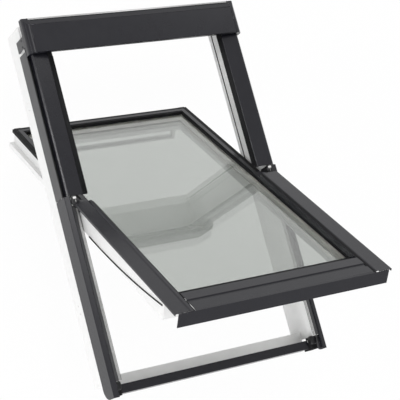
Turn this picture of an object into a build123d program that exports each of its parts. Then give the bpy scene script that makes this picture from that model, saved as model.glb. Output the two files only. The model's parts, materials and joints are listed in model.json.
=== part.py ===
# Centre-pivot roof skylight: white frame and sash, sheet aluminium covers outside.
# X runs across the roof, Y up the slope, Z out of the roof; millimetres.
# The origin is the centre of the frame on its back face, where the lining starts.
# The sash is drawn closed and then swung about its pivot to the angle it stands open at.
import os

from build123d import *

# Frame
frame_width = 780.0
frame_length = 1180.0
frame_height = 136.0
jamb_back = 35.0
jamb_front = 25.0
head_thickness = 50.0
sill_thickness = 25.0
sill_ledge = 56.0
sill_upstand_drop = 37.5
sill_upstand_width = 9.0
sill_upstand_reach = 18.0
sill_underside_drop = 12.0
cover_rebate = 7.0
cover_rebate_depth = 38.0
lining_groove_width = 12.0
lining_groove_depth = 9.0
lining_groove_set = 10.0
lining_groove_inset = 60.0
head_groove_inset = 55.0
head_groove_set = 18.0
bracket_hole_radius = 2.5
bracket_hole_spacing = 26.0
bracket_hole_height = 32.0
bracket_inset = 250.0
bracket_hole_depth = 20.0

# Outer covers
sheet = 1.5
bend = 2.5
cover_rise = 7.0
cover_reach = 60.0
cover_fall = 10.6
cover_leg = 42.0
cover_chamfer = 5.0
cover_lip = 2.5
cover_start = 5.0
cover_side_set = 5.5
gasket_reach = 16.5
gasket_height = 3.4
side_gap = 2.8
side_leg_drop = 68.0
upper_profile_drop = 13.0
upper_profile_inset = 93.0
rib_width = 2.0
rib_first = 6.0
rib_second = 24.0
lower_cover_width = 17.8
lower_cover_fall = 6.4
cover_joint = 2.0
lower_cover_overhang = 49.0
lower_cover_round = 36.0
seal_strip_height = 2.0
sill_cover_reach = 38.0
sill_cover_drop = 55.0
sill_cover_bite = 0.5
head_cover_reach = 34.0
head_gasket_width = 18.0
corner_height = 12.0
corner_width = 16.0
corner_round = 11.0

# Hood over the head
hood_rise = 27.0
hood_front = 113.0
hood_rear = 8.0
hood_crease = 19.0
hood_shoulder_rise = 12.0
hood_lip = 13.0
hood_end = 22.0
hood_end_drop = 9.5
hood_rear_drop = 62.0
support_inner = 180.0
support_width = 40.0
support_inset = 60.0
support_length = 40.0
support_wall = 3.0
hood_bracket_inset = 82.0
hood_bracket_length = 38.0

# Pivot
open_angle = 45.93
axis_y = -15.0
axis_rise = 2.0
pin_radius = 6.0
pin_clearance = 0.05
eye_radius = 10.0
plate = 4.0
plate_half_length = 16.0
plate_drop = 60.0
washer_clearance = 0.1

# Sash, measured closed
sash_clearance = 5.0
upper_half_inset = 16.0
stile_lip = 18.0
stile_width = 54.0
rebate_wall = 22.0
top_rebate_wall = 12.0
end_rebate_wall = 9.0
sash_depth = 64.0
sash_sink = 12.0
top_rail_width = 52.0
bottom_rail_width = 52.0
sash_top_clearance = 9.0
sash_overhang = 7.0
pane = 4.0
pane_gap = 16.0
pane_clearance = 4.0
spacer_width = 12.0
spacer_inset = 15.0
glass_sink = 8.0
seat = 2.0
upper_cover_width = 24.0
upper_cover_leg = 18.0
upper_seal = 6.0
upper_seal_depth = 11.0
upper_half_start = 7.0
flange_clearance = 2.0
flange_rise = 11.0
flange_drop = 8.0
flange_start = -41.0
flange_overhang = 107.5
sight_inset = 41.0
bead_width = 9.0
bead_height = 3.0
bead_inset = 8.0
bottom_cover_set = 7.0
bottom_front_drop = 48.0
bottom_front_inset = 10.5
bottom_groove_depth = 4.0
bottom_groove_set = 37.0
bottom_groove_width = 18.0
clip_length = 30.0
clip_count = 4
clip_inset = 60.0
clip_span_inset = 200.0
carrier_inset = 29.0
carrier_sheet = 3.0
carrier_drop = 18.0
arc_seal_low = 3.5
arc_seal_mid = 13.0
arc_seal_width = 4.0
arc_seal_height = 2.0
arc_seal_set = 95.0
arc_seal_drop = 20.0

# Operating parts on the top rail
bar_end_gap = 26.0
bar_width = 24.0
bar_thickness = 11.0
bar_drop = 30.0
bar_pivot_radius = 4.0
flap_inset = 40.0
flap_width = 16.0
flap_thickness = 2.5
bolt_width = 14.0
bolt_height = 10.0
bolt_reach = 5.0
running_gap = 0.3

half_width = frame_width / 2
lower_cover_start = cover_start - cover_joint
half_length = frame_length / 2
sill_upstand = frame_height - sill_upstand_drop
cover_rebate_height = frame_height - cover_rebate_depth
cover_corner_height = frame_height + cover_rise
side_leg_bottom = frame_height - side_leg_drop
upper_profile_top = frame_height - upper_profile_drop
upper_profile_end = half_length - upper_profile_inset
rib_low = side_leg_bottom + rib_first
rib_high = side_leg_bottom + rib_second
hood_height = frame_height + hood_rise
hood_shoulder = frame_height + hood_shoulder_rise
hood_end_bottom = frame_height - hood_end_drop
hood_bracket_start = half_length - hood_bracket_inset
hood_bracket_end = hood_bracket_start + hood_bracket_length
support_y0 = half_length - support_inset
bracket_place = half_length - bracket_inset
axis_z = frame_height + axis_rise
plate_bottom = axis_z - plate_drop
inner_back = half_width - jamb_back
head_groove_half = inner_back - head_groove_inset
sash_half_width = inner_back - sash_clearance
upper_half_width = sash_half_width - upper_half_inset
sight_half_width = sash_half_width - sight_inset
sash_front = frame_height - sash_sink
sash_back = sash_front - sash_depth
stile_lip_height = sash_back + stile_lip
flange_height = frame_height + flange_rise
sash_bottom = -half_length - sash_overhang
flange_end = -half_length - flange_overhang
bottom_cover_start = sash_bottom - bottom_cover_set
bottom_groove_start = bottom_cover_start - bottom_groove_set
bottom_groove_end = bottom_groove_start - bottom_groove_width
carrier_half = sight_half_width - carrier_inset
bar_half_length = sash_half_width - stile_width - bar_end_gap
flap_half_length = bar_half_length - flap_inset
inner_front = half_width - jamb_front
head_inner = half_length - head_thickness
sash_top = head_inner - sash_top_clearance
sill_inner = -(half_length - sill_thickness)
cover_outer = half_width - cover_side_set
cover_inner = cover_outer - cover_reach
profile_outer = half_width + side_gap + sheet
lower_inner = profile_outer - lower_cover_width
flange_half_width = lower_inner - flange_clearance
bottom_front_half = flange_half_width - bottom_front_inset
glass_front = sash_front - glass_sink
glass_back = glass_front - pane_gap - 2 * pane
glass_half_width = sash_half_width - rebate_wall - pane_clearance
glass_top = sash_top - top_rebate_wall - pane_clearance
glass_bottom = sash_bottom + end_rebate_wall + pane_clearance - 1.0
upper_cover_top = sash_front + seat + sheet
head_gasket_start = head_inner - head_cover_reach
hood_y0 = half_length - hood_front
hood_y1 = half_length + hood_rear


def polygon(points):
    return make_face(Polyline(*points, close=True))


# Runs a section drawn in X and Z from one Y to another
def along_y(section, start, end):
    return extrude(Plane.XZ.offset(-end) * section, amount=end - start)


# Runs a section drawn in Y and Z from one X to another
def along_x(section, start, end):
    return extrude(Plane.YZ.offset(start) * section, amount=end - start)


# Section of a folded sheet: its outer line, thickened towards the left
def folded(points, radius=bend):
    line = FilletPolyline(*points, radius=radius)
    return make_face(offset(line, amount=sheet, side=Side.LEFT, closed=True))


def block(x0, x1, y0, y1, z0, z1):
    return Pos((x0 + x1) / 2, (y0 + y1) / 2, (z0 + z1) / 2) * Box(x1 - x0, y1 - y0, z1 - z0)


def rod_x(x0, x1, y, z, radius):
    return Pos((x0 + x1) / 2, y, z) * Rot(0, 90, 0) * Cylinder(radius, x1 - x0)


parts = {}


def add_pair(name, right):
    parts[name + "_right"] = right
    parts[name + "_left"] = mirror(right, about=Plane.YZ)


# Frame: two jambs with a rebate for the cover leg, head and sill between them
jamb_section = polygon([
    (inner_back, 0),
    (half_width, 0),
    (half_width, cover_rebate_height),
    (half_width - cover_rebate, cover_rebate_height),
    (half_width - cover_rebate, frame_height),
    (inner_front, frame_height),
])
between = polygon([
    (-inner_back, 0), (inner_back, 0), (inner_front, frame_height), (-inner_front, frame_height),
])
opening = along_y(between, -half_length - sill_upstand_reach, half_length)
groove_x = inner_back + lining_groove_set + lining_groove_width
groove_end = half_length - lining_groove_inset
jamb = along_y(jamb_section, -half_length, half_length)
jamb -= block(groove_x - lining_groove_width, groove_x, -groove_end, groove_end, 0, lining_groove_depth)
for place in (-bracket_place, bracket_place):
    for step in (-0.5, 0.5):
        hole_y = place + step * bracket_hole_spacing
        jamb -= rod_x(half_width - bracket_hole_depth, half_width, hole_y, bracket_hole_height, bracket_hole_radius)
add_pair("frame_jamb", jamb)

head_section = polygon([
    (head_inner, 0), (half_length, 0), (half_length, frame_height), (head_inner, frame_height),
])
head = along_x(head_section, -half_width, half_width) & opening
head_groove = head_inner + head_groove_set
head -= block(-head_groove_half, head_groove_half, head_groove, head_groove + lining_groove_width, 0,
              lining_groove_depth)
parts["frame_head"] = head

upstand_outer = -half_length - sill_upstand_reach
upstand_inner = upstand_outer + sill_upstand_width
sill_section = polygon([
    (sill_inner, 0),
    (sill_inner, sill_ledge),
    (upstand_inner, sill_ledge - 3),
    (upstand_inner, sill_upstand),
    (upstand_outer, sill_upstand),
    (upstand_outer, sill_ledge - sill_underside_drop),
    (-half_length, sill_ledge - 2 * sill_underside_drop),
    (-half_length, 0),
])
sill = along_x(sill_section, -half_width, half_width) & opening
parts["frame_sill"] = sill

# Upper side covers, their gaskets and the grey side profiles below them
chamfer_fall = cover_fall * cover_chamfer / cover_reach
upper_cover_section = folded([
    (cover_outer, cover_corner_height - cover_leg),
    (cover_outer, cover_corner_height - cover_chamfer),
    (cover_outer - cover_chamfer, cover_corner_height - chamfer_fall),
    (cover_inner, cover_corner_height - cover_fall),
    (cover_inner, cover_corner_height - cover_fall - sheet - cover_lip),
])
cover_end = head_inner - head_cover_reach - 1
add_pair("upper_side_cover", along_y(upper_cover_section, cover_start, cover_end))

lip_bottom = cover_corner_height - cover_fall - sheet - cover_lip
gasket_bottom = upper_cover_top + running_gap
gasket_section = polygon([
    (cover_inner - gasket_reach, gasket_bottom),
    (cover_inner + 7, gasket_bottom),
    (cover_inner + 7, lip_bottom + cover_lip - 0.4),
    (cover_inner + sheet + 0.3, lip_bottom + cover_lip - 1.2),
    (cover_inner + sheet + 0.3, lip_bottom - 0.3),
    (cover_inner - 0.3, lip_bottom - 0.3),
    (cover_inner - 0.3, gasket_bottom + gasket_height),
    (cover_inner - gasket_reach / 2, gasket_bottom + gasket_height),
    (cover_inner - gasket_reach, gasket_bottom + 1.2),
])
add_pair("cover_gasket", along_y(gasket_section, cover_start, head_gasket_start - running_gap))


# Grey side profile: a plate held off the jamb by two ribs
def side_plate(top, start, end):
    plate_body = block(profile_outer - sheet, profile_outer, start, end, side_leg_bottom, top)
    for low in (rib_low, rib_high):
        plate_body += block(half_width, profile_outer - sheet, start, end, low, low + rib_width)
    return plate_body


add_pair("upper_side_profile", side_plate(upper_profile_top, cover_start, upper_profile_end))
add_pair("hood_bracket", side_plate(hood_end_bottom - running_gap, hood_bracket_start, hood_bracket_end))

# Lower side covers, running past the frame and rounded at the low corner
lower_end = -half_length - lower_cover_overhang
lower_section = folded([
    (profile_outer, side_leg_bottom),
    (profile_outer, cover_corner_height - lower_cover_fall),
    (lower_inner, cover_corner_height),
    (lower_inner, frame_height + running_gap),
])
lower_cover = along_y(lower_section, lower_end, lower_cover_start)
for low in (rib_low, rib_high):
    lower_cover += block(half_width, profile_outer - sheet, -half_length + 5, lower_cover_start, low,
                         low + rib_width)
corner_cut = block(half_width, profile_outer + 5, lower_end - 1, lower_end + lower_cover_round,
                   side_leg_bottom - 1, side_leg_bottom + lower_cover_round)
corner_cut -= rod_x(half_width - 1, profile_outer + 6, lower_end + lower_cover_round,
                    side_leg_bottom + lower_cover_round, lower_cover_round)
add_pair("lower_side_cover", lower_cover - corner_cut)
strip_end = axis_y - plate_half_length - running_gap
strip = block(inner_front, lower_inner - running_gap, -half_length, strip_end, frame_height,
              frame_height + seal_strip_height)
add_pair("lower_jamb_seal", strip)

# Sill cover and the black corner pieces at its ends
corner_x0 = inner_front - corner_width
sill_front = -half_length - sill_cover_reach
sill_cover_section = folded([
    (upstand_inner - sill_cover_bite, sill_upstand + sheet),
    (sill_front, sill_upstand + sheet),
    (sill_front, sill_upstand + sheet - sill_cover_drop),
])
parts["sill_cover"] = along_x(sill_cover_section, -corner_x0, corner_x0)
corner = block(corner_x0 + running_gap, lower_inner - running_gap, lower_end + 6, upstand_outer - running_gap,
               side_leg_bottom, sill_upstand + corner_height)
corner += block(inner_front, lower_inner - running_gap, upstand_outer - running_gap, -half_length,
                side_leg_bottom, sill_upstand + corner_height)
corner_edge = corner.edges().filter_by(Axis.Y).sort_by(lambda e: e.center().X - e.center().Z)[0]
add_pair("sill_corner", fillet(corner_edge, radius=corner_round))

# Hood with a crease along its top, rounded ends and two supports on the head
hood_outline = [
    (hood_y1, hood_shoulder - hood_rear_drop),
    (hood_y1, hood_shoulder),
    (half_length - hood_crease, hood_height),
    (hood_y0, hood_height),
    (hood_y0, hood_height - hood_lip),
]
hood_half = profile_outer - hood_end
parts["top_hood"] = along_x(folded(hood_outline), -hood_half, hood_half)
end_block = polygon(hood_outline[1:4] + [(hood_y0, hood_end_bottom), (hood_y1, hood_end_bottom)])
end_top = cover_corner_height + running_gap
end_line = [
    Line((hood_half, end_top), (hood_half, hood_height)),
    CenterArc((hood_half, hood_height - hood_end), hood_end, 0, 90),
    Line((profile_outer, hood_height - hood_end), (profile_outer, hood_end_bottom)),
    Line((profile_outer, hood_end_bottom), (cover_outer + running_gap, hood_end_bottom)),
    Line((cover_outer + running_gap, hood_end_bottom), (cover_outer + running_gap, end_top)),
    Line((cover_outer + running_gap, end_top), (hood_half, end_top)),
]
end_section = make_face(Curve() + end_line)
hood_end_cap = along_y(end_section, hood_y0, hood_y1) & along_x(end_block, hood_half, profile_outer)
add_pair("hood_end_cap", hood_end_cap)

head_cover_top = frame_height + sheet
head_cover = block(-cover_inner, cover_inner, head_inner - head_cover_reach, half_length, frame_height,
                   head_cover_top)
parts["head_cover"] = head_cover
head_gasket_half = cover_inner - gasket_reach - running_gap
head_gasket = block(-head_gasket_half, head_gasket_half, head_gasket_start, head_gasket_start + head_gasket_width,
                    gasket_bottom, frame_height)
parts["head_gasket"] = head_gasket
support_outer = support_inner + support_width
support_y1 = support_y0 + support_length
hood_under = hood_height - sheet
support = block(support_inner, support_outer, support_y0, support_y1, head_cover_top, hood_under)
support -= block(support_inner - 1, support_outer + 1, support_y0 + support_wall, support_y1 + 1,
                 head_cover_top + support_wall, hood_under - support_wall)
add_pair("hood_support", support)

# Pivot: bracket and pin on the frame, plate with an eye on the sash
bracket_x1 = inner_front - 4
bracket_x0 = bracket_x1 - plate
washer_x0 = sash_half_width + plate + washer_clearance
bracket = block(bracket_x0, bracket_x1, axis_y - plate_half_length, axis_y + plate_half_length,
                frame_height - 40, axis_z)
bracket += rod_x(bracket_x0, bracket_x1, axis_y, axis_z, eye_radius)
bracket += block(bracket_x0, flange_half_width, axis_y - plate_half_length,
                 cover_start - running_gap, frame_height, frame_height + plate)
bracket += rod_x(washer_x0, bracket_x0, axis_y, axis_z, eye_radius)
bracket += rod_x(sash_half_width - 2, bracket_x0, axis_y, axis_z, pin_radius)
bracket -= along_y(jamb_section, axis_y - plate_half_length, axis_y + plate_half_length)
add_pair("pivot_bracket", bracket)

# Sash timber: the stile is full width below the pivot and keeps only a lip above it
stile_inner = sash_half_width - stile_width
glass_wall = sash_half_width - rebate_wall


def stile_section(outer):
    return polygon([
        (stile_inner, sash_back),
        (sash_half_width, sash_back),
        (sash_half_width, stile_lip_height),
        (outer, stile_lip_height),
        (outer, sash_front),
        (glass_wall, sash_front),
        (glass_wall, glass_back),
        (stile_inner, glass_back),
    ])


def lower_stile_section():
    return polygon([
        (stile_inner, sash_back), (sash_half_width, sash_back), (sash_half_width, sash_front),
        (glass_wall, sash_front), (glass_wall, glass_back), (stile_inner, glass_back),
    ])


sash = {}


def add_sash_pair(name, right):
    sash[name + "_right"] = right
    sash[name + "_left"] = mirror(right, about=Plane.YZ)


stile = along_y(lower_stile_section(), sash_bottom, upper_half_start)
stile += along_y(stile_section(upper_half_width), upper_half_start, sash_top)
add_sash_pair("sash_stile", stile)
top_rail_inner = sash_top - top_rail_width
bottom_rail_inner = sash_bottom + bottom_rail_width
top_section = polygon([
    (top_rail_inner, sash_back), (sash_top, sash_back), (sash_top, sash_front),
    (sash_top - top_rebate_wall, sash_front), (sash_top - top_rebate_wall, glass_back),
    (top_rail_inner, glass_back),
])
bottom_section = polygon([
    (bottom_rail_inner, sash_back), (sash_bottom, sash_back), (sash_bottom, sash_front),
    (sash_bottom + end_rebate_wall, sash_front), (sash_bottom + end_rebate_wall, glass_back),
    (bottom_rail_inner, glass_back),
])
sash["sash_top_rail"] = along_x(top_section, -stile_inner, stile_inner)
sash["sash_bottom_rail"] = along_x(bottom_section, -stile_inner, stile_inner)

# Insulated glass: two panes, a spacer and the black edge seal
def ring(x_out, y0, y1, width, z0, z1):
    outer = block(-x_out, x_out, y0, y1, z0, z1)
    return outer - block(-x_out + width, x_out - width, y0 + width, y1 - width, z0 - 1, z1 + 1)


gap_back = glass_back + pane
gap_front = gap_back + pane_gap
sash["inner_pane"] = block(-glass_half_width, glass_half_width, glass_bottom, glass_top, glass_back, gap_back)
sash["outer_pane"] = block(-glass_half_width, glass_half_width, glass_bottom, glass_top, gap_front, glass_front)
sash["spacer_frame"] = ring(glass_half_width - spacer_inset, glass_bottom + spacer_inset,
                            glass_top - spacer_inset, spacer_width, gap_back, gap_front)
sash["glass_edge_seal"] = ring(glass_half_width - 1, glass_bottom + 1, glass_top - 1, spacer_inset - 1,
                               gap_back, gap_front)
gasket_width = glass_half_width - sight_half_width
sash["glazing_gasket"] = ring(glass_half_width, glass_bottom, glass_top, gasket_width,
                              glass_front, sash_front + seat)

# Covers on the upper half of the sash
upper_outer = upper_half_width + sheet + 0.5
upper_sash_section = folded([
    (upper_outer, upper_cover_top - upper_cover_leg),
    (upper_outer, upper_cover_top),
    (upper_outer - upper_cover_width, upper_cover_top),
], radius=2.0)
add_sash_pair("upper_sash_cover", along_y(upper_sash_section, upper_half_start, sash_top + 2))
top_cover_section = folded([
    (sash_top + sheet + 0.5, upper_cover_top - upper_cover_leg),
    (sash_top + sheet + 0.5, upper_cover_top),
    (sash_top - upper_cover_width, upper_cover_top),
], radius=2.0)
top_half = upper_outer - upper_cover_width - running_gap
sash["top_sash_cover"] = along_x(top_cover_section, -top_half, top_half)
add_sash_pair("upper_sash_seal", block(upper_outer, upper_outer + upper_seal, upper_half_start + 3,
                                       sash_top, upper_cover_top - 1 - upper_seal_depth, upper_cover_top - 1))

# Covers on the lower half: side covers with a bead, and the bottom cover
bead_outer = sight_half_width + bead_inset + bead_width
lower_sash_section = folded([
    (flange_half_width, flange_height - flange_drop),
    (flange_half_width, flange_height),
    (bead_outer + 2, flange_height),
    (bead_outer, flange_height + bead_height),
    (bead_outer - bead_width, flange_height + bead_height),
    (bead_outer - bead_width - 2, flange_height),
    (sight_half_width, flange_height - 3),
    (sight_half_width, sash_front + seat),
], radius=1.0)
lower_sash_cover = along_y(lower_sash_section, flange_end + sheet + running_gap, flange_start)
add_sash_pair("lower_sash_cover", lower_sash_cover)

bottom_front = flange_height - 4
bottom_section = folded([
    (bottom_cover_start, sash_front + seat),
    (bottom_cover_start, flange_height - 1),
    (bottom_groove_start, flange_height),
    (bottom_groove_start - 3, flange_height - bottom_groove_depth),
    (bottom_groove_end + 3, flange_height - bottom_groove_depth),
    (bottom_groove_end, flange_height),
    (flange_end + 8, flange_height),
    (flange_end, bottom_front),
    (flange_end, flange_height - bottom_front_drop),
], radius=1.0)
bottom_half = sight_half_width - running_gap
bottom_cover = along_x(bottom_section, -bottom_half, bottom_half)
bottom_cover += block(-bottom_front_half, bottom_front_half, flange_end, flange_end + sheet,
                      flange_height - bottom_front_drop, flange_height - sheet)
sash["bottom_sash_cover"] = bottom_cover

under_flange = flange_height - sheet
clip_step = (flange_start - flange_end - clip_span_inset) / (clip_count - 1)
for side in (-1, 1):
    clip_x = sorted([side * (bead_outer + 6), side * sash_half_width])
    clips = []
    for index in range(clip_count):
        start = flange_start - clip_inset - index * clip_step
        clips.append(block(*clip_x, start - clip_length, start, sash_front, under_flange))
    sash["lower_cover_clips_" + ("left" if side < 0 else "right")] = Compound(clips)
groove_under = flange_height - bottom_groove_depth - sheet
carrier_y = bottom_groove_end + 9
carrier_top = sash_front + seat - 2
carrier_in = sash_bottom - carrier_sheet
carrier = block(-carrier_half, carrier_half, carrier_in, sash_bottom, carrier_top - carrier_drop, carrier_top)
carrier += block(-carrier_half, carrier_half, carrier_y, carrier_in, carrier_top - carrier_sheet, carrier_top)
carrier += block(-carrier_half, carrier_half, carrier_y, carrier_y + carrier_sheet, carrier_top, groove_under)
sash["bottom_carrier"] = carrier

# Side seals, bowed along the stiles
arc_y0 = axis_y - arc_seal_set
arc_y1 = sash_bottom + 12
arc_top = sash_front - arc_seal_drop
arc_middle = ((arc_y0 + arc_y1) / 2, sash_back + arc_seal_mid)
arc = ThreePointArc((arc_y0, sash_back + arc_seal_low), arc_middle, (arc_y1, arc_top))
arc_face = make_face(offset(arc, amount=arc_seal_width, side=Side.LEFT, closed=True))
arc_seal = along_x(arc_face, sash_half_width, sash_half_width + arc_seal_height)
add_sash_pair("side_seal", arc_seal)

# Hinge plates on the sash
hinge = block(sash_half_width, sash_half_width + plate, axis_y - plate_half_length, axis_y + plate_half_length,
              plate_bottom, axis_z)
hinge += rod_x(sash_half_width, sash_half_width + plate, axis_y, axis_z, eye_radius)
hinge -= rod_x(sash_half_width - 1, sash_half_width + plate + 1, axis_y, axis_z, pin_radius + pin_clearance)
add_sash_pair("hinge_plate", hinge)

# Control bar on two brackets, vent flap and latch
bar_y = top_rail_inner + bar_width / 2 + 2
bar_z = sash_back - bar_drop
bar_bracket = block(bar_half_length + running_gap, bar_half_length + 12, bar_y - 8, bar_y + 8, bar_z - 8, sash_back)
bar_bracket += rod_x(bar_half_length - 14, bar_half_length + 2, bar_y, bar_z, bar_pivot_radius)
add_sash_pair("bar_bracket", bar_bracket)
bar = block(-bar_half_length, bar_half_length, bar_y - bar_width / 2, bar_y + bar_width / 2,
            bar_z - bar_thickness / 2, bar_z + bar_thickness / 2)
bar = fillet(bar.edges().filter_by(Axis.X), radius=4.0)
for side in (-1, 1):
    bar -= rod_x(side * (bar_half_length - 7) - 8, side * (bar_half_length - 7) + 8, bar_y, bar_z,
                 bar_pivot_radius + pin_clearance)
sash["control_bar"] = bar
flap_y = sash_top - 4
flap_z = sash_back - flap_thickness - running_gap
flap = block(-flap_half_length, flap_half_length, flap_y - flap_width, flap_y, flap_z, flap_z + flap_thickness)
sash["vent_flap"] = flap
bolt_z = (sash_back + glass_back) / 2
bolt_slot = block(-bolt_width / 2 - running_gap, bolt_width / 2 + running_gap, sash_top - 30, sash_top + 1,
                  bolt_z - bolt_height / 2 - running_gap, bolt_z + bolt_height / 2 + running_gap)
sash["sash_top_rail"] -= bolt_slot
sash["latch_bolt"] = block(-bolt_width / 2, bolt_width / 2, sash_top - 20, sash_top + bolt_reach,
                           bolt_z - bolt_height / 2, bolt_z + bolt_height / 2)
parts["striker_plate"] = block(-30, 30, head_inner - 2, head_inner, bolt_z - 16, bolt_z + 16)

swing = Pos(0, axis_y, axis_z) * Rot(-open_angle, 0, 0) * Pos(0, -axis_y, -axis_z)
for name, shape in sash.items():
    parts[name] = swing * shape

os.makedirs("parts", exist_ok=True)
for name, shape in parts.items():
    export_step(shape, "parts/" + name + ".step")
    print(name, len(shape.solids()), round(shape.volume / 1000, 1))
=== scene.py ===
import json
import math
import bpy
import numpy as np
from mathutils import Matrix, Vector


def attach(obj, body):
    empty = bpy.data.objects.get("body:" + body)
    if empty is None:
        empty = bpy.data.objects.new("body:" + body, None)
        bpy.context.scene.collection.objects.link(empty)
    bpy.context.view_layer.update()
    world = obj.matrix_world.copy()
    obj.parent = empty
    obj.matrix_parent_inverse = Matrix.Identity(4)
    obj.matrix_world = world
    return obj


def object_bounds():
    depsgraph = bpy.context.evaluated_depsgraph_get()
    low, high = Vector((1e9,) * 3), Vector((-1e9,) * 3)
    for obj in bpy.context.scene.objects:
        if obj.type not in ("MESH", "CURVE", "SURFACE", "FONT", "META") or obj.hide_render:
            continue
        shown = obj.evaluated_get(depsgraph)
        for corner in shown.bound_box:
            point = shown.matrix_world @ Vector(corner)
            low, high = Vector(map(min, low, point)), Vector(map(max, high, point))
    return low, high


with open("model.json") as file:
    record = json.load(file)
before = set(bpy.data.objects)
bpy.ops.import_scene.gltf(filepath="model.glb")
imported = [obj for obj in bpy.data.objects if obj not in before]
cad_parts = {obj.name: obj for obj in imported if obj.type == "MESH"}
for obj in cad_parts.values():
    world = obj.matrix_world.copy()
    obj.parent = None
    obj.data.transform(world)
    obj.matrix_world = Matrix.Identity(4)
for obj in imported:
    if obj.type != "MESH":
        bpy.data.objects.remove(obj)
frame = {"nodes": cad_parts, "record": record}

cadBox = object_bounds()
print("stage: frame loaded,", len(frame["nodes"]), "nodes")

# lengths are metres: X across the window, Y up the slope, Z outwards from the back of the frame
# the sash stands open about its pivots; places on it are given as measured closed
sashSwing = {"angle": math.radians(45.93), "axisY": -0.015, "axisZ": 0.138}
sides = {"left": -1, "right": 1}


def toRest(points):
    # turns closed points about the pivot axis by the opening angle
    p = np.asarray(points, float).copy()
    c, s = math.cos(sashSwing["angle"]), math.sin(sashSwing["angle"])
    y = p[..., 1] - sashSwing["axisY"]
    z = p[..., 2] - sashSwing["axisZ"]
    p[..., 1] = sashSwing["axisY"] + y * c + z * s
    p[..., 2] = sashSwing["axisZ"] - y * s + z * c
    return p


def feed(tree, node, values):
    # values name the node's inputs, or number them where names repeat; an output of another node is linked
    for key, value in values.items():
        if isinstance(value, bpy.types.NodeSocket):
            tree.links.new(value, node.inputs[key])
        else:
            node.inputs[key].default_value = value


def addMath(tree, operation, *values, clamp=False):
    node = tree.nodes.new("ShaderNodeMath")
    node.operation = operation
    node.use_clamp = clamp
    feed(tree, node, dict(enumerate(values)))
    return node.outputs[0]


def addMix(tree, kind, factor, low, high):
    # runs from low to high; a Mix node has its own two inputs and output for each kind of value
    lowInput, highInput, output = {"FLOAT": (2, 3, 0), "RGBA": (6, 7, 2)}[kind]
    node = tree.nodes.new("ShaderNodeMix")
    node.data_type = kind
    feed(tree, node, {"Factor": factor, lowInput: low, highInput: high})
    return node.outputs[output]


def addNoise(tree, vector, scale, detail):
    node = tree.nodes.new("ShaderNodeTexNoise")
    feed(tree, node, {"Vector": vector, "Scale": scale, "Detail": detail})
    return node.outputs["Fac"]


def addEffect(tree, group, values):
    # places a shared effect with this material's own values
    node = tree.nodes.new("ShaderNodeGroup")
    node.node_tree = group
    feed(tree, node, values)
    return node.outputs[0]


def objectPlace(tree):
    return tree.nodes.new("ShaderNodeTexCoord").outputs["Object"]


def newEffect(name, inputs, output):
    # a shared effect: inputs with their usual values, and one number as its output
    group = bpy.data.node_groups.new(name, "ShaderNodeTree")
    for label, value in inputs.items():
        kind = "NodeSocketVector" if isinstance(value, tuple) else "NodeSocketFloat"
        socket = group.interface.new_socket(name=label, in_out="INPUT", socket_type=kind)
        socket.default_value = value
    group.interface.new_socket(name=output, in_out="OUTPUT", socket_type="NodeSocketFloat")
    return group, group.nodes.new("NodeGroupInput").outputs, group.nodes.new("NodeGroupOutput")


mottleValues = {"detail": 2.0, "fineness": 7.0, "middle": 0.5}


def makeMottle():
    # mask = middle + contrast * (mean of a broad and a fine noise - middle), kept between 0 and 1
    group, given, out = newEffect("surface mottle", {"Scale": 6.0, "Contrast": 1.0}, "Mask")
    place, middle = objectPlace(group), mottleValues["middle"]
    fineScale = addMath(group, "MULTIPLY", given["Scale"], mottleValues["fineness"])
    broad = addNoise(group, place, given["Scale"], mottleValues["detail"])
    fine = addNoise(group, place, fineScale, mottleValues["detail"])
    both = addMath(group, "ADD", broad, fine)
    centred = addMath(group, "MULTIPLY_ADD", both, 0.5, -middle)
    mask = addMath(group, "MULTIPLY_ADD", centred, given["Contrast"], middle, clamp=True)
    feed(group, out, {"Mask": mask})
    return group


grainValues = {"detail": 3.0}


def makeGrain():
    # height = fine noise, drawn out along the axes whose stretch is below one
    group, given, out = newEffect("coat grain", {"Scale": 900.0, "Stretch": (1, 1, 1)}, "Height")
    mapping = group.nodes.new("ShaderNodeMapping")
    feed(group, mapping, {"Vector": objectPlace(group), "Scale": given["Stretch"]})
    height = addNoise(group, mapping.outputs["Vector"], given["Scale"], grainValues["detail"])
    feed(group, out, {"Height": height})
    return group


dustValues = {"detail": 8.0, "from": 0.45, "full": 0.75}


def makeDust():
    # mask = amount * how far the noise has risen from its lower to its upper value, so it lies in patches
    group, given, out = newEffect("settled dust", {"Scale": 14.0, "Amount": 0.2}, "Mask")
    patch = addNoise(group, objectPlace(group), given["Scale"], dustValues["detail"])
    ramp = group.nodes.new("ShaderNodeMapRange")
    feed(group, ramp, {"Value": patch, "From Min": dustValues["from"], "From Max": dustValues["full"]})
    mask = addMath(group, "MULTIPLY", ramp.outputs["Result"], given["Amount"], clamp=True)
    feed(group, out, {"Mask": mask})
    return group


mottle, grain, dust = makeMottle(), makeGrain(), makeDust()


def newMaterial(name):
    mat = bpy.data.materials.new(name)
    mat.use_nodes = True
    return mat, mat.node_tree


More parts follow.
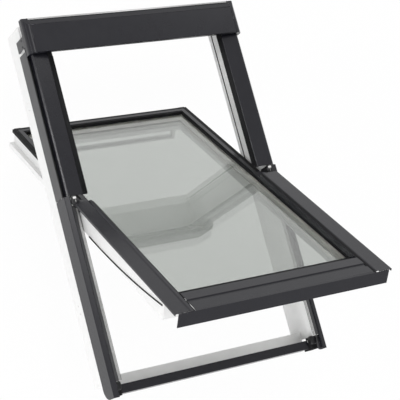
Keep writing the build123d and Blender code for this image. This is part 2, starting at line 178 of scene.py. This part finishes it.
usualFinish = {"stretch": (1, 1, 1), "bumpDistance": 0.0002, "metal": 0.0, "specular": 0.5, "coat": 0.0,
               "dustScale": 14.0}
finishes = {
    "white_paint": {"dark": (0.84, 0.84, 0.835), "light": (0.91, 0.91, 0.905), "mottleScale": 5.0,
                    "contrast": 1.4, "rough": (0.32, 0.46), "bump": 0.25, "grainScale": 260.0,
                    "stretch": (1, 0.12, 1), "coat": 0.15},
    "cladding": {"dark": (0.008, 0.008, 0.012), "light": (0.015, 0.015, 0.020), "mottleScale": 5.0,
                 "contrast": 0.9, "rough": (0.20, 0.26), "bump": 0.10, "bumpDistance": 0.00005,
                 "grainScale": 1500.0, "specular": 0.42, "dust": 0.05, "dustColour": (0.05, 0.05, 0.055)},
    "black_metal": {"dark": (0.010, 0.010, 0.011), "light": (0.020, 0.020, 0.022), "mottleScale": 25.0,
                    "contrast": 1.6, "rough": (0.3, 0.45), "bump": 0.3, "grainScale": 900.0, "specular": 0.4},
    "grey_profile": {"dark": (0.050, 0.050, 0.053), "light": (0.070, 0.070, 0.073), "mottleScale": 9.0,
                     "contrast": 1.5, "rough": (0.38, 0.5), "bump": 0.3, "grainScale": 1300.0,
                     "dust": 0.1, "dustColour": (0.22, 0.22, 0.22)},
    "rubber": {"dark": (0.007, 0.007, 0.008), "light": (0.018, 0.018, 0.019), "mottleScale": 30.0,
               "contrast": 1.8, "rough": (0.55, 0.8), "bump": 0.6, "grainScale": 700.0, "specular": 0.18,
               "dust": 0.04, "dustColour": (0.05, 0.05, 0.05)},
    "spacer": {"dark": (0.84, 0.83, 0.77), "light": (0.92, 0.91, 0.86), "mottleScale": 20.0,
               "contrast": 1.3, "rough": (0.4, 0.55), "bump": 0.3, "grainScale": 500.0},
    "steel": {"dark": (0.46, 0.46, 0.46), "light": (0.66, 0.66, 0.65), "mottleScale": 40.0,
              "contrast": 2.0, "rough": (0.28, 0.45), "bump": 0.3, "grainScale": 500.0,
              "stretch": (1, 0.1, 1), "metal": 0.9},
    "bar": {"dark": (0.55, 0.55, 0.55), "light": (0.68, 0.68, 0.68), "mottleScale": 15.0,
            "contrast": 1.4, "rough": (0.3, 0.42), "bump": 0.3, "grainScale": 900.0,
            "stretch": (0.05, 1, 1), "metal": 0.7},
    "white_plastic": {"dark": (0.76, 0.76, 0.75), "light": (0.84, 0.84, 0.83), "mottleScale": 12.0,
                      "contrast": 1.2, "rough": (0.35, 0.5), "bump": 0.2, "grainScale": 1100.0},
}


def makeFinish(name, own):
    # colour and roughness run between their two values by the mottle; dust lies over the colour,
    # and the grain is the height of the bump
    v = {**usualFinish, **own}
    mat, tree = newMaterial(name)
    mask = addEffect(tree, mottle, {"Scale": v["mottleScale"], "Contrast": v["contrast"]})
    colour = addMix(tree, "RGBA", mask, (*v["dark"], 1), (*v["light"], 1))
    if "dust" in v:
        patch = addEffect(tree, dust, {"Scale": v["dustScale"], "Amount": v["dust"]})
        colour = addMix(tree, "RGBA", patch, colour, (*v["dustColour"], 1))
    height = addEffect(tree, grain, {"Scale": v["grainScale"], "Stretch": v["stretch"]})
    bump = tree.nodes.new("ShaderNodeBump")
    feed(tree, bump, {"Strength": v["bump"], "Distance": v["bumpDistance"], "Height": height})
    feed(tree, tree.nodes["Principled BSDF"],
         {"Base Color": colour, "Roughness": addMix(tree, "FLOAT", mask, *v["rough"]),
          "Normal": bump.outputs["Normal"], "Metallic": v["metal"],
          "Specular IOR Level": v["specular"], "Coat Weight": v["coat"]})
    return mat


materials = {slot: makeFinish(slot.replace("_", " "), values) for slot, values in finishes.items()}

glassValues = {
    "outer_pane": {"tint": (0.93, 0.945, 0.932), "ior": 1.52, "smear": 0.008},
    "inner_pane": {"tint": (0.405, 0.422, 0.402), "ior": 1.52, "smear": 0.010},   # coated against heat
}
glassMottle = {"scale": 3.0, "contrast": 1.5, "darkest": 0.985}


def makeGlass(name, v):
    # clear glass: the mottle varies its tint a little and smears its surface faintly
    mat, tree = newMaterial(name)
    mask = addEffect(tree, mottle, {"Scale": glassMottle["scale"], "Contrast": glassMottle["contrast"]})
    darkest = [c * glassMottle["darkest"] for c in v["tint"]]
    feed(tree, tree.nodes["Principled BSDF"],
         {"Transmission Weight": 1.0, "Metallic": 0.0, "IOR": v["ior"],
          "Base Color": addMix(tree, "RGBA", mask, (*darkest, 1), (*v["tint"], 1)),
          "Roughness": addMath(tree, "MULTIPLY", mask, v["smear"])})
    return mat


panes = {node: makeGlass(node.replace("_", " ") + " glass", v) for node, v in glassValues.items()}
slotOf = {entry["node"]: entry["material_slot"] for entry in frame["record"]["subparts"]}
for node, target in frame["nodes"].items():
    for holder in target.material_slots:
        holder.material = panes.get(node) or materials[slotOf[node]]
print("stage: materials")


def orient(mesh):
    # closed meshes only: faces turned outwards where the signed volume is negative
    mesh.calc_loop_triangles()
    v = np.empty(len(mesh.vertices) * 3)
    mesh.vertices.foreach_get("co", v)
    v = v.reshape(-1, 3)
    t = np.empty(len(mesh.loop_triangles) * 3, int)
    mesh.loop_triangles.foreach_get("vertices", t)
    t = t.reshape(-1, 3)
    if np.einsum("ij,ij->i", v[t[:, 0]], np.cross(v[t[:, 1]], v[t[:, 2]])).sum() < 0:
        mesh.flip_normals()


def addPiece(name, rings, body, slot, smooth=True):
    # quads join each ring to the next, a ring's last point meets its first, and a face closes each end;
    # all bodies but the frame ride on the sash, so their points are opened with it
    rows, count = rings.shape[:2]
    row = np.arange(rows - 1)[:, None] * count
    here = np.arange(count)[None, :]
    after = (here + 1) % count
    quads = np.stack([row + here, row + after, row + count + after, row + count + here], axis=-1)
    ends = [list(range(count))[::-1], list(range((rows - 1) * count, rows * count))]
    points = rings.reshape(-1, 3) if body == "frame" else toRest(rings.reshape(-1, 3))
    mesh = bpy.data.meshes.new(name)
    mesh.from_pydata(points.tolist(), [], quads.reshape(-1, 4).tolist() + ends)
    mesh.polygons.foreach_set("use_smooth", np.full(len(mesh.polygons), smooth))
    mesh.materials.append(materials[slot])
    orient(mesh)
    piece = bpy.data.objects.new(name, mesh)
    bpy.context.scene.collection.objects.link(piece)
    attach(piece, body)


def sweep(name, section, path, body, slot, smooth=True):
    # each path point carries the section: point = place + u * across + v * up
    section = np.asarray(section, float)
    rings = np.stack([place + section[:, :1] * across + section[:, 1:] * up for place, across, up in path])
    addPiece(name, rings, body, slot, smooth)


def lathe(name, profile, centre, axis, body, slot, segments, lobes, depth):
    # profile rows are radius, height along the axis and share of the ripple, turned about a unit axis:
    # radius * (1 + depth * share * cosine of lobes times the angle)
    axis = np.asarray(axis, float)
    side = np.cross(axis, [0.0, 0.0, 1.0] if abs(axis[2]) < 0.9 else [1.0, 0.0, 0.0])
    other = np.cross(axis, side)
    profile = np.asarray(profile, float)
    angle = np.linspace(0, 2 * np.pi, segments, endpoint=False)
    radius = profile[:, :1] * (1 + depth * np.cos(lobes * angle)[None, :] * profile[:, 2:3])
    outwards = np.cos(angle)[:, None] * side + np.sin(angle)[:, None] * other
    rings = np.asarray(centre) + radius[..., None] * outwards + profile[:, 1][:, None, None] * axis
    addPiece(name, rings, body, slot)


def pillow(name, centre, size, power, body, slot, rows=17, columns=32):
    # superellipsoid: each sine and cosine is raised to a small power, which squares the round form
    lat = np.linspace(-np.pi / 2, np.pi / 2, rows)[1:-1, None]
    lon = np.linspace(0, 2 * np.pi, columns, endpoint=False)[None, :]

    def square(value):
        return np.sign(value) * np.abs(value) ** power

    x = size[0] * square(np.cos(lat)) * square(np.cos(lon))
    y = size[1] * square(np.cos(lat)) * square(np.sin(lon))
    z = size[2] * square(np.sin(lat)) * np.ones_like(lon)
    addPiece(name, np.stack([x, y, z], axis=-1) + np.asarray(centre), body, slot)


def straight(start, end, across, up, steps=3):
    # evenly spaced places from start to end with a fixed frame
    t = np.linspace(0, 1, steps)[:, None]
    places = np.asarray(start, float) * (1 - t) + np.asarray(end, float) * t
    return [(place, np.asarray(across, float), np.asarray(up, float)) for place in places]


def rectangle(width, height):
    return [(0, 0), (width, 0), (width, height), (0, height)]


def ribbed(width, height, ribs, samples=8, base=0.35):
    # top edge = height * (base + the rest of one * absolute sine), so half-round ribs stand side by side
    u = np.linspace(0, 1, ribs * samples + 1)
    top = height * (base + (1 - base) * np.abs(np.sin(np.pi * ribs * u)))
    return np.vstack([np.stack([u * width, top], axis=1), [[width, 0], [0, 0]]])


halfTurn = np.linspace(0, np.pi, 9)


def arch(start, width, rise, lift=0.0001):
    # low arch over a strip: across = start + width * (1 - cosine) / 2, up = lift + rise * sine
    return np.stack([start + width * (1 - np.cos(halfTurn)) / 2, lift + rise * np.sin(halfTurn)], axis=1)


def halfRound(radius, flatten=0.8, sink=0.1):
    # bead: across = radius * cosine, up = radius * (flatten * sine - sink)
    return radius * np.stack([np.cos(halfTurn), flatten * np.sin(halfTurn) - sink], axis=1)


# ribs in front of the gaskets at the inner edges of the upper side covers, 0.5 mm clear of them
coverSeal = {"inner": 0.3085, "z": 0.1317, "start": 0.008, "end": 0.47, "width": 0.0135, "height": 0.0014,
             "ribs": 4}
for tag, side in sides.items():
    x, z = side * coverSeal["inner"], coverSeal["z"]
    path = straight((x, coverSeal["start"], z), (x, coverSeal["end"], z), (side, 0, 0), (0, 0, 1))
    section = ribbed(coverSeal["width"], coverSeal["height"], coverSeal["ribs"])
    sweep("cover_seal_ribs_" + tag, section, path, "frame", "rubber")

# thin seal along the inner face of each jamb, which splays outwards over its depth
jambSeal = {"z": 0.017, "start": 0.012, "end": 0.53, "width": 0.004, "height": 0.0022, "samples": 12,
            "jambBack": 0.355, "jambSplay": 0.010, "jambDepth": 0.136}
for tag, side in sides.items():
    z = jambSeal["z"]
    x = side * (jambSeal["jambBack"] + jambSeal["jambSplay"] * z / jambSeal["jambDepth"])
    path = straight((x, jambSeal["start"], z), (x, jambSeal["end"], z), (0, 0, 1), (-side, 0, 0))
    section = ribbed(jambSeal["width"], jambSeal["height"], 1, jambSeal["samples"])
    sweep("jamb_seal_line_" + tag, section, path, "frame", "rubber")

# strips on the upper half of the sash, one run up the left side, along the top and down the right;
# at a corner the outward direction is the sum of both legs' directions, which mitres the strip
upperStrips = {"half": 0.312, "top": 0.507, "start": 0.0072}
stripSections = {
    "upper_cover_band": [(0.0142, 0.12735), (0.0236, 0.12735), (0.0236, 0.12765), (0.0142, 0.12765)],
    "upper_glazing_lip": [(0.0004, 0.1256), (0.0004, 0.1264), (-0.0055, 0.1166), (-0.0055, 0.11605)],
}
half, top, start = upperStrips["half"], upperStrips["top"], upperStrips["start"]
turns = [((-half, start, 0), (-1, 0, 0)), ((-half, top, 0), (-1, 1, 0)),
         ((half, top, 0), (1, 1, 0)), ((half, start, 0), (1, 0, 0))]
path = [(np.array(place), np.array(outwards), np.array([0, 0, 1])) for place, outwards in turns]
for name, section in stripSections.items():
    sweep(name, section, path, "sash", "rubber", smooth=False)

# strip lying on the slope beside the bead of the lower covers
beadStrip = {"inner": (0.3094, 0.1442), "outer": (0.3152, 0.1471), "rise": 0.0003,
             "start": -0.692, "end": -0.0415}
for tag, side in sides.items():
    (x0, z0), (x1, z1), rise = beadStrip["inner"], beadStrip["outer"], beadStrip["rise"]
    path = straight((0, beadStrip["start"], 0), (0, beadStrip["end"], 0), (side, 0, 0), (0, 0, 1), steps=2)
    section = [(x0, z0 - rise), (x1, z1 - rise), (x1, z1 + rise), (x0, z0 + rise)]
    sweep("bead_strip_" + tag, section, path, "sash", "rubber", smooth=False)
print("stage: seals")

# the hood's outline runs from its rear edge over the crease to the front and down to the lip
hoodForm = {"half": 0.371, "rear": (0.598, 0.148), "crease": (0.571, 0.163), "front": (0.477, 0.163),
            "lip": (0.477, 0.150)}


def acrossHood(place, across, up):
    return straight((-hoodForm["half"], *place), (hoodForm["half"], *place), across, up)


# light trim along the rear edge with a dark seal in front of it, both lying on the rear slope
hoodTrim = {"start": 0.0, "width": 0.0074, "rise": 0.0009}
hoodSeal = {"start": 0.0076, "width": 0.0034, "rise": 0.0004}
slope = math.atan2(hoodForm["crease"][1] - hoodForm["rear"][1], hoodForm["rear"][0] - hoodForm["crease"][0])
down, rise = math.cos(slope), math.sin(slope)
path = acrossHood(hoodForm["rear"], (0, -down, rise), (0, rise, down))
sweep("hood_rear_trim", arch(**hoodTrim), path, "frame", "bar")
sweep("hood_rear_seal", arch(**hoodSeal), path, "frame", "rubber")

# half-round beads on the hood: one along its crease, one over the seam at each end
creaseBead = {"radius": 0.0012, "across": (0, -0.97, 0.12), "up": (0, 0.26, 0.97)}
path = acrossHood(hoodForm["crease"], creaseBead["across"], creaseBead["up"])
sweep("hood_crease_bead", halfRound(creaseBead["radius"]), path, "frame", "cladding")

seamBead = {"radius": 0.0015, "x": 0.3728}
outline = np.array([hoodForm[place] for place in ("rear", "crease", "front", "lip")])
legs = np.diff(outline, axis=0)
normals = np.stack([legs[:, 1], -legs[:, 0]], axis=1) / np.linalg.norm(legs, axis=1)[:, None]
# a corner's normal = sum of its legs' normals / (1 + their dot product), so the mitre keeps the bead's height
corners = [(a + b) / (1 + a @ b) for a, b in zip(normals[:-1], normals[1:])]
for tag, side in sides.items():
    path = [(np.array([side * seamBead["x"], *place]), np.array([1, 0, 0]), np.array([0, *normal]))
            for place, normal in zip(outline, [normals[0], *corners, normals[-1]])]
    sweep("hood_seam_bead_" + tag, halfRound(seamBead["radius"]), path, "frame", "cladding")

# a dark and a grey strip beside the top inner edge of each jamb, below the pivots; the dark one is painted
# shade along the jamb's edge. They stand in the opening, clear of the jamb's face by 8.4 and 1.5 mm
jambStrips = {"jamb_edge_shade_line": {"from": 0.3552, "to": 0.3566, "slot": "rubber"},
              "jamb_top_strip": {"from": 0.3575, "to": 0.3635, "slot": "steel"}}
jambSpan = {"start": -0.589, "end": -0.036, "z": 0.1359, "height": 0.0003}
for label, v in jambStrips.items():
    for tag, side in sides.items():
        x, z = side * v["from"], jambSpan["z"]
        path = straight((x, jambSpan["start"], z), (x, jambSpan["end"], z), (side, 0, 0), (0, 0, 1), steps=2)
        section = rectangle(v["to"] - v["from"], jambSpan["height"])
        sweep(label + "_" + tag, section, path, "frame", v["slot"], smooth=False)

# mouth, floor and middle are shares of the radius, their heights shares of the height,
# and domeTurn is how much of a quarter turn the dome has
screwHead = {"radius": 0.0042, "height": 0.0018, "sink": 0.0003, "domeTurn": 0.72, "recess": 0.0010,
             "mouth": 0.34, "floor": 0.30, "middle": 0.05, "mouthHeight": 0.97, "middleHeight": 0.8,
             "segments": 24, "lobes": 4, "lobeDepth": 0.45}


def screw(name, centre, axis, size=1.0, slot="steel"):
    # dome: radius falls as the cosine while height rises as the sine; the recess is a four-lobed pit
    v = screwHead
    r, h, recess = v["radius"] * size, v["height"] * size, v["recess"]
    t = np.linspace(0, np.pi / 2 * v["domeTurn"], 7)
    dome = np.stack([r * np.cos(t), h * np.sin(t), 0 * t], axis=1)
    pit = [[r * v["mouth"], h * v["mouthHeight"], 1], [r * v["floor"], h * v["mouthHeight"] - recess, 1],
           [r * v["middle"], h * v["middleHeight"] - recess, 0]]
    profile = np.vstack([[[r, -v["sink"], 0]], dome, pit])
    lathe(name, profile, centre, axis, "frame", slot, v["segments"], v["lobes"], v["lobeDepth"])


pivotScrews = {"x": 0.372, "y": (-0.025, -0.005), "z": 0.140}
bracketScrews = {"x": 0.3943, "y": (0.516, 0.538), "z": 0.110, "size": 0.9}
strikerScrews = {"x": 0.021, "y": 0.538, "z": 0.078, "size": 0.8}
for tag, side in sides.items():
    for index, y in enumerate(pivotScrews["y"]):
        place = (side * pivotScrews["x"], y, pivotScrews["z"])
        screw("pivot_screw_%s_%d" % (tag, index), place, (0, 0, 1))
    for index, y in enumerate(bracketScrews["y"]):
        place = (side * bracketScrews["x"], y, bracketScrews["z"])
        screw("hood_bracket_screw_%s_%d" % (tag, index), place, (side, 0, 0), bracketScrews["size"],
              "black_metal")
    place = (side * strikerScrews["x"], strikerScrews["y"], strikerScrews["z"])
    screw("striker_screw_" + tag, place, (0, -1, 0), strikerScrews["size"])
print("stage: trim and screws")

# disc on the pivot axis, its middle sunk inside a faintly rippled edge
pivotDisc = {"x": 0.3610, "segments": 48, "lobes": 6, "lobeDepth": 0.05,
             "profile": [(0.0095, 0.0, 0), (0.0095, 0.0012, 0), (0.0088, 0.0018, 0), (0.0060, 0.0020, 1),
                         (0.0054, 0.0010, 1), (0.0012, 0.0010, 0)]}
for tag, side in sides.items():
    centre = (side * pivotDisc["x"], sashSwing["axisY"], sashSwing["axisZ"])
    lathe("pivot_disc_" + tag, pivotDisc["profile"], centre, (side, 0, 0), "frame", "steel",
          pivotDisc["segments"], pivotDisc["lobes"], pivotDisc["lobeDepth"])

# small moulded pieces: half sizes, place on the right side, and the power that squares their form
mouldings = {
    "pivot_cap": {"size": (0.0058, 0.0038, 0.0022), "place": (0.3632, -0.0045, 0.1444), "power": 0.35,
                  "body": "frame", "slot": "white_plastic"},
    "pivot_housing": {"size": (0.0090, 0.0175, 0.0058), "place": (0.3660, -0.0132, 0.1402), "power": 0.45,
                      "body": "frame", "slot": "black_metal"},
    "sill_corner_plug": {"size": (0.0125, 0.0150, 0.0125), "place": (0.3635, -0.6030, 0.1080), "power": 0.55,
                         "body": "frame", "slot": "black_metal"},
    "hood_bracket_tab": {"size": (0.0022, 0.0058, 0.0110), "place": (0.3918, 0.5025, 0.1060), "power": 0.3,
                         "body": "frame", "slot": "steel"},
    "hinge_cover": {"size": (0.0181, 0.0256, 0.0030), "place": (0.3294, -0.0192, 0.1246), "power": 0.12,
                    "body": "sash", "slot": "cladding"},
}
for tag, side in sides.items():
    for label, v in mouldings.items():
        x, y, z = v["place"]
        pillow(label + "_" + tag, (side * x, y, z), v["size"], v["power"], v["body"], v["slot"])

# ribbed strips: the filter on the back of the top rail beside the vent flap, the grip on the back of the bar
insideStrips = {
    "vent_filter": {"half": 0.22, "y": 0.4985, "z": 0.060, "width": 0.010, "height": 0.0016, "ribs": 6,
                    "body": "sash", "slot": "rubber"},
    "control_bar_grip": {"half": 0.20, "y": 0.486, "z": 0.0245, "width": 0.014, "height": 0.0007, "ribs": 7,
                         "body": "control_bar", "slot": "bar"},
}
for name, v in insideStrips.items():
    path = straight((-v["half"], v["y"], v["z"]), (v["half"], v["y"], v["z"]), (0, 1, 0), (0, 0, -1))
    sweep(name, ribbed(v["width"], v["height"], v["ribs"]), path, v["body"], v["slot"])
print("stage: pivot and bar")

floorValues = {"half": 30.0, "below": 0.02, "shade": 0.97, "glow": 0.95}


def makeBackdrop():
    # white to what the camera, gloss and glass see, with a share of plain diffuse that holds the shadow
    mat, tree = newMaterial("studio floor")
    tree.nodes.clear()
    diffuse = tree.nodes.new("ShaderNodeBsdfDiffuse")
    feed(tree, diffuse, {"Color": (floorValues["shade"], floorValues["shade"], floorValues["shade"], 1)})
    glow = tree.nodes.new("ShaderNodeEmission")
    feed(tree, glow, {"Color": (1, 1, 1, 1)})
    rays = tree.nodes.new("ShaderNodeLightPath").outputs
    direct = addMath(tree, "MAXIMUM", rays["Is Camera Ray"], rays["Is Glossy Ray"])
    seen = addMath(tree, "MAXIMUM", direct, rays["Is Transmission Ray"])
    mixer = tree.nodes.new("ShaderNodeMixShader")
    feed(tree, mixer, {0: addMath(tree, "MULTIPLY", seen, floorValues["glow"]),
                       1: diffuse.outputs[0], 2: glow.outputs[0]})
    feed(tree, tree.nodes.new("ShaderNodeOutputMaterial"), {"Surface": mixer.outputs[0]})
    return mat


half = floorValues["half"]
level = float(min(cadBox[0][2], cadBox[1][2])) - floorValues["below"]
floorCorners = [(-half, -half, level), (half, -half, level), (half, half, level), (-half, half, level)]
floorMesh = bpy.data.meshes.new("floor")
floorMesh.from_pydata(floorCorners, [], [(0, 1, 2, 3)])
floorMesh.materials.append(makeBackdrop())
floorObject = bpy.data.objects.new("floor", floorMesh)
bpy.context.scene.collection.objects.link(floorObject)

# a plain level lights the object, while the camera sees white
worldValues = {"level": 0.62, "seen": 1.0}
world = bpy.data.worlds.new("studio")
world.use_nodes = True
bpy.context.scene.world = world
cameraRay = world.node_tree.nodes.new("ShaderNodeLightPath").outputs["Is Camera Ray"]
strength = addMix(world.node_tree, "FLOAT", cameraRay, worldValues["level"], worldValues["seen"])
feed(world.node_tree, world.node_tree.nodes["Background"], {"Color": (1, 1, 1, 1), "Strength": strength})

lamps = {
    "key": {"place": (-3.8, 1.0, 2.1), "size": 0.6, "power": 24.0},
    "top": {"place": (-0.7, 1.0, 4.6), "size": 2.0, "power": 40.0},
    "fill": {"place": (-2.2, -2.8, 2.4), "size": 2.2, "power": 30.0},
    "low": {"place": (-0.9, -2.9, 0.45), "size": 0.9, "power": 26.0},
    "rear": {"place": (2.2, 3.4, 2.7), "size": 3.0, "power": 42.0},
}
lampAim = (0, 0, 0.1)


def placed(right, up, back, place):
    # columns: the object's own three directions and its place
    return Matrix([[column[row] for column in (right, up, back, place)] for row in range(3)] + [[0, 0, 0, 1]])


for name, v in lamps.items():
    data = bpy.data.lights.new(name, "AREA")
    data.energy = v["power"]
    data.size = v["size"]
    lamp = bpy.data.objects.new(name, data)
    bpy.context.scene.collection.objects.link(lamp)
    back = np.array(v["place"]) - np.array(lampAim)
    back /= np.linalg.norm(back)
    right = np.cross([0, 0, 1.0], back)
    right /= np.linalg.norm(right)
    lamp.matrix_world = placed(right, np.cross(back, right), back, v["place"])

# the directions are those of the photo's camera, from its vanishing lines
cameraValues = {"place": (-2.104, -0.8594, 4.0118), "lens": 124.1, "sensor": 36.0, "far": 100.0,
                "right": (0.8639, -0.2561, 0.4338), "up": (0.1446, 0.951, 0.2734),
                "back": (-0.4825, -0.1735, 0.8585)}
cameraData = bpy.data.cameras.new("photo view")
cameraData.lens = cameraValues["lens"]
cameraData.sensor_width = cameraValues["sensor"]
cameraData.clip_end = cameraValues["far"]
camera = bpy.data.objects.new("photo view", cameraData)
bpy.context.scene.collection.objects.link(camera)
camera.matrix_world = placed(*[cameraValues[key] for key in ("right", "up", "back", "place")])
bpy.context.scene.camera = camera
bpy.context.scene.view_settings.view_transform = "Standard"
print("stage: light and camera")
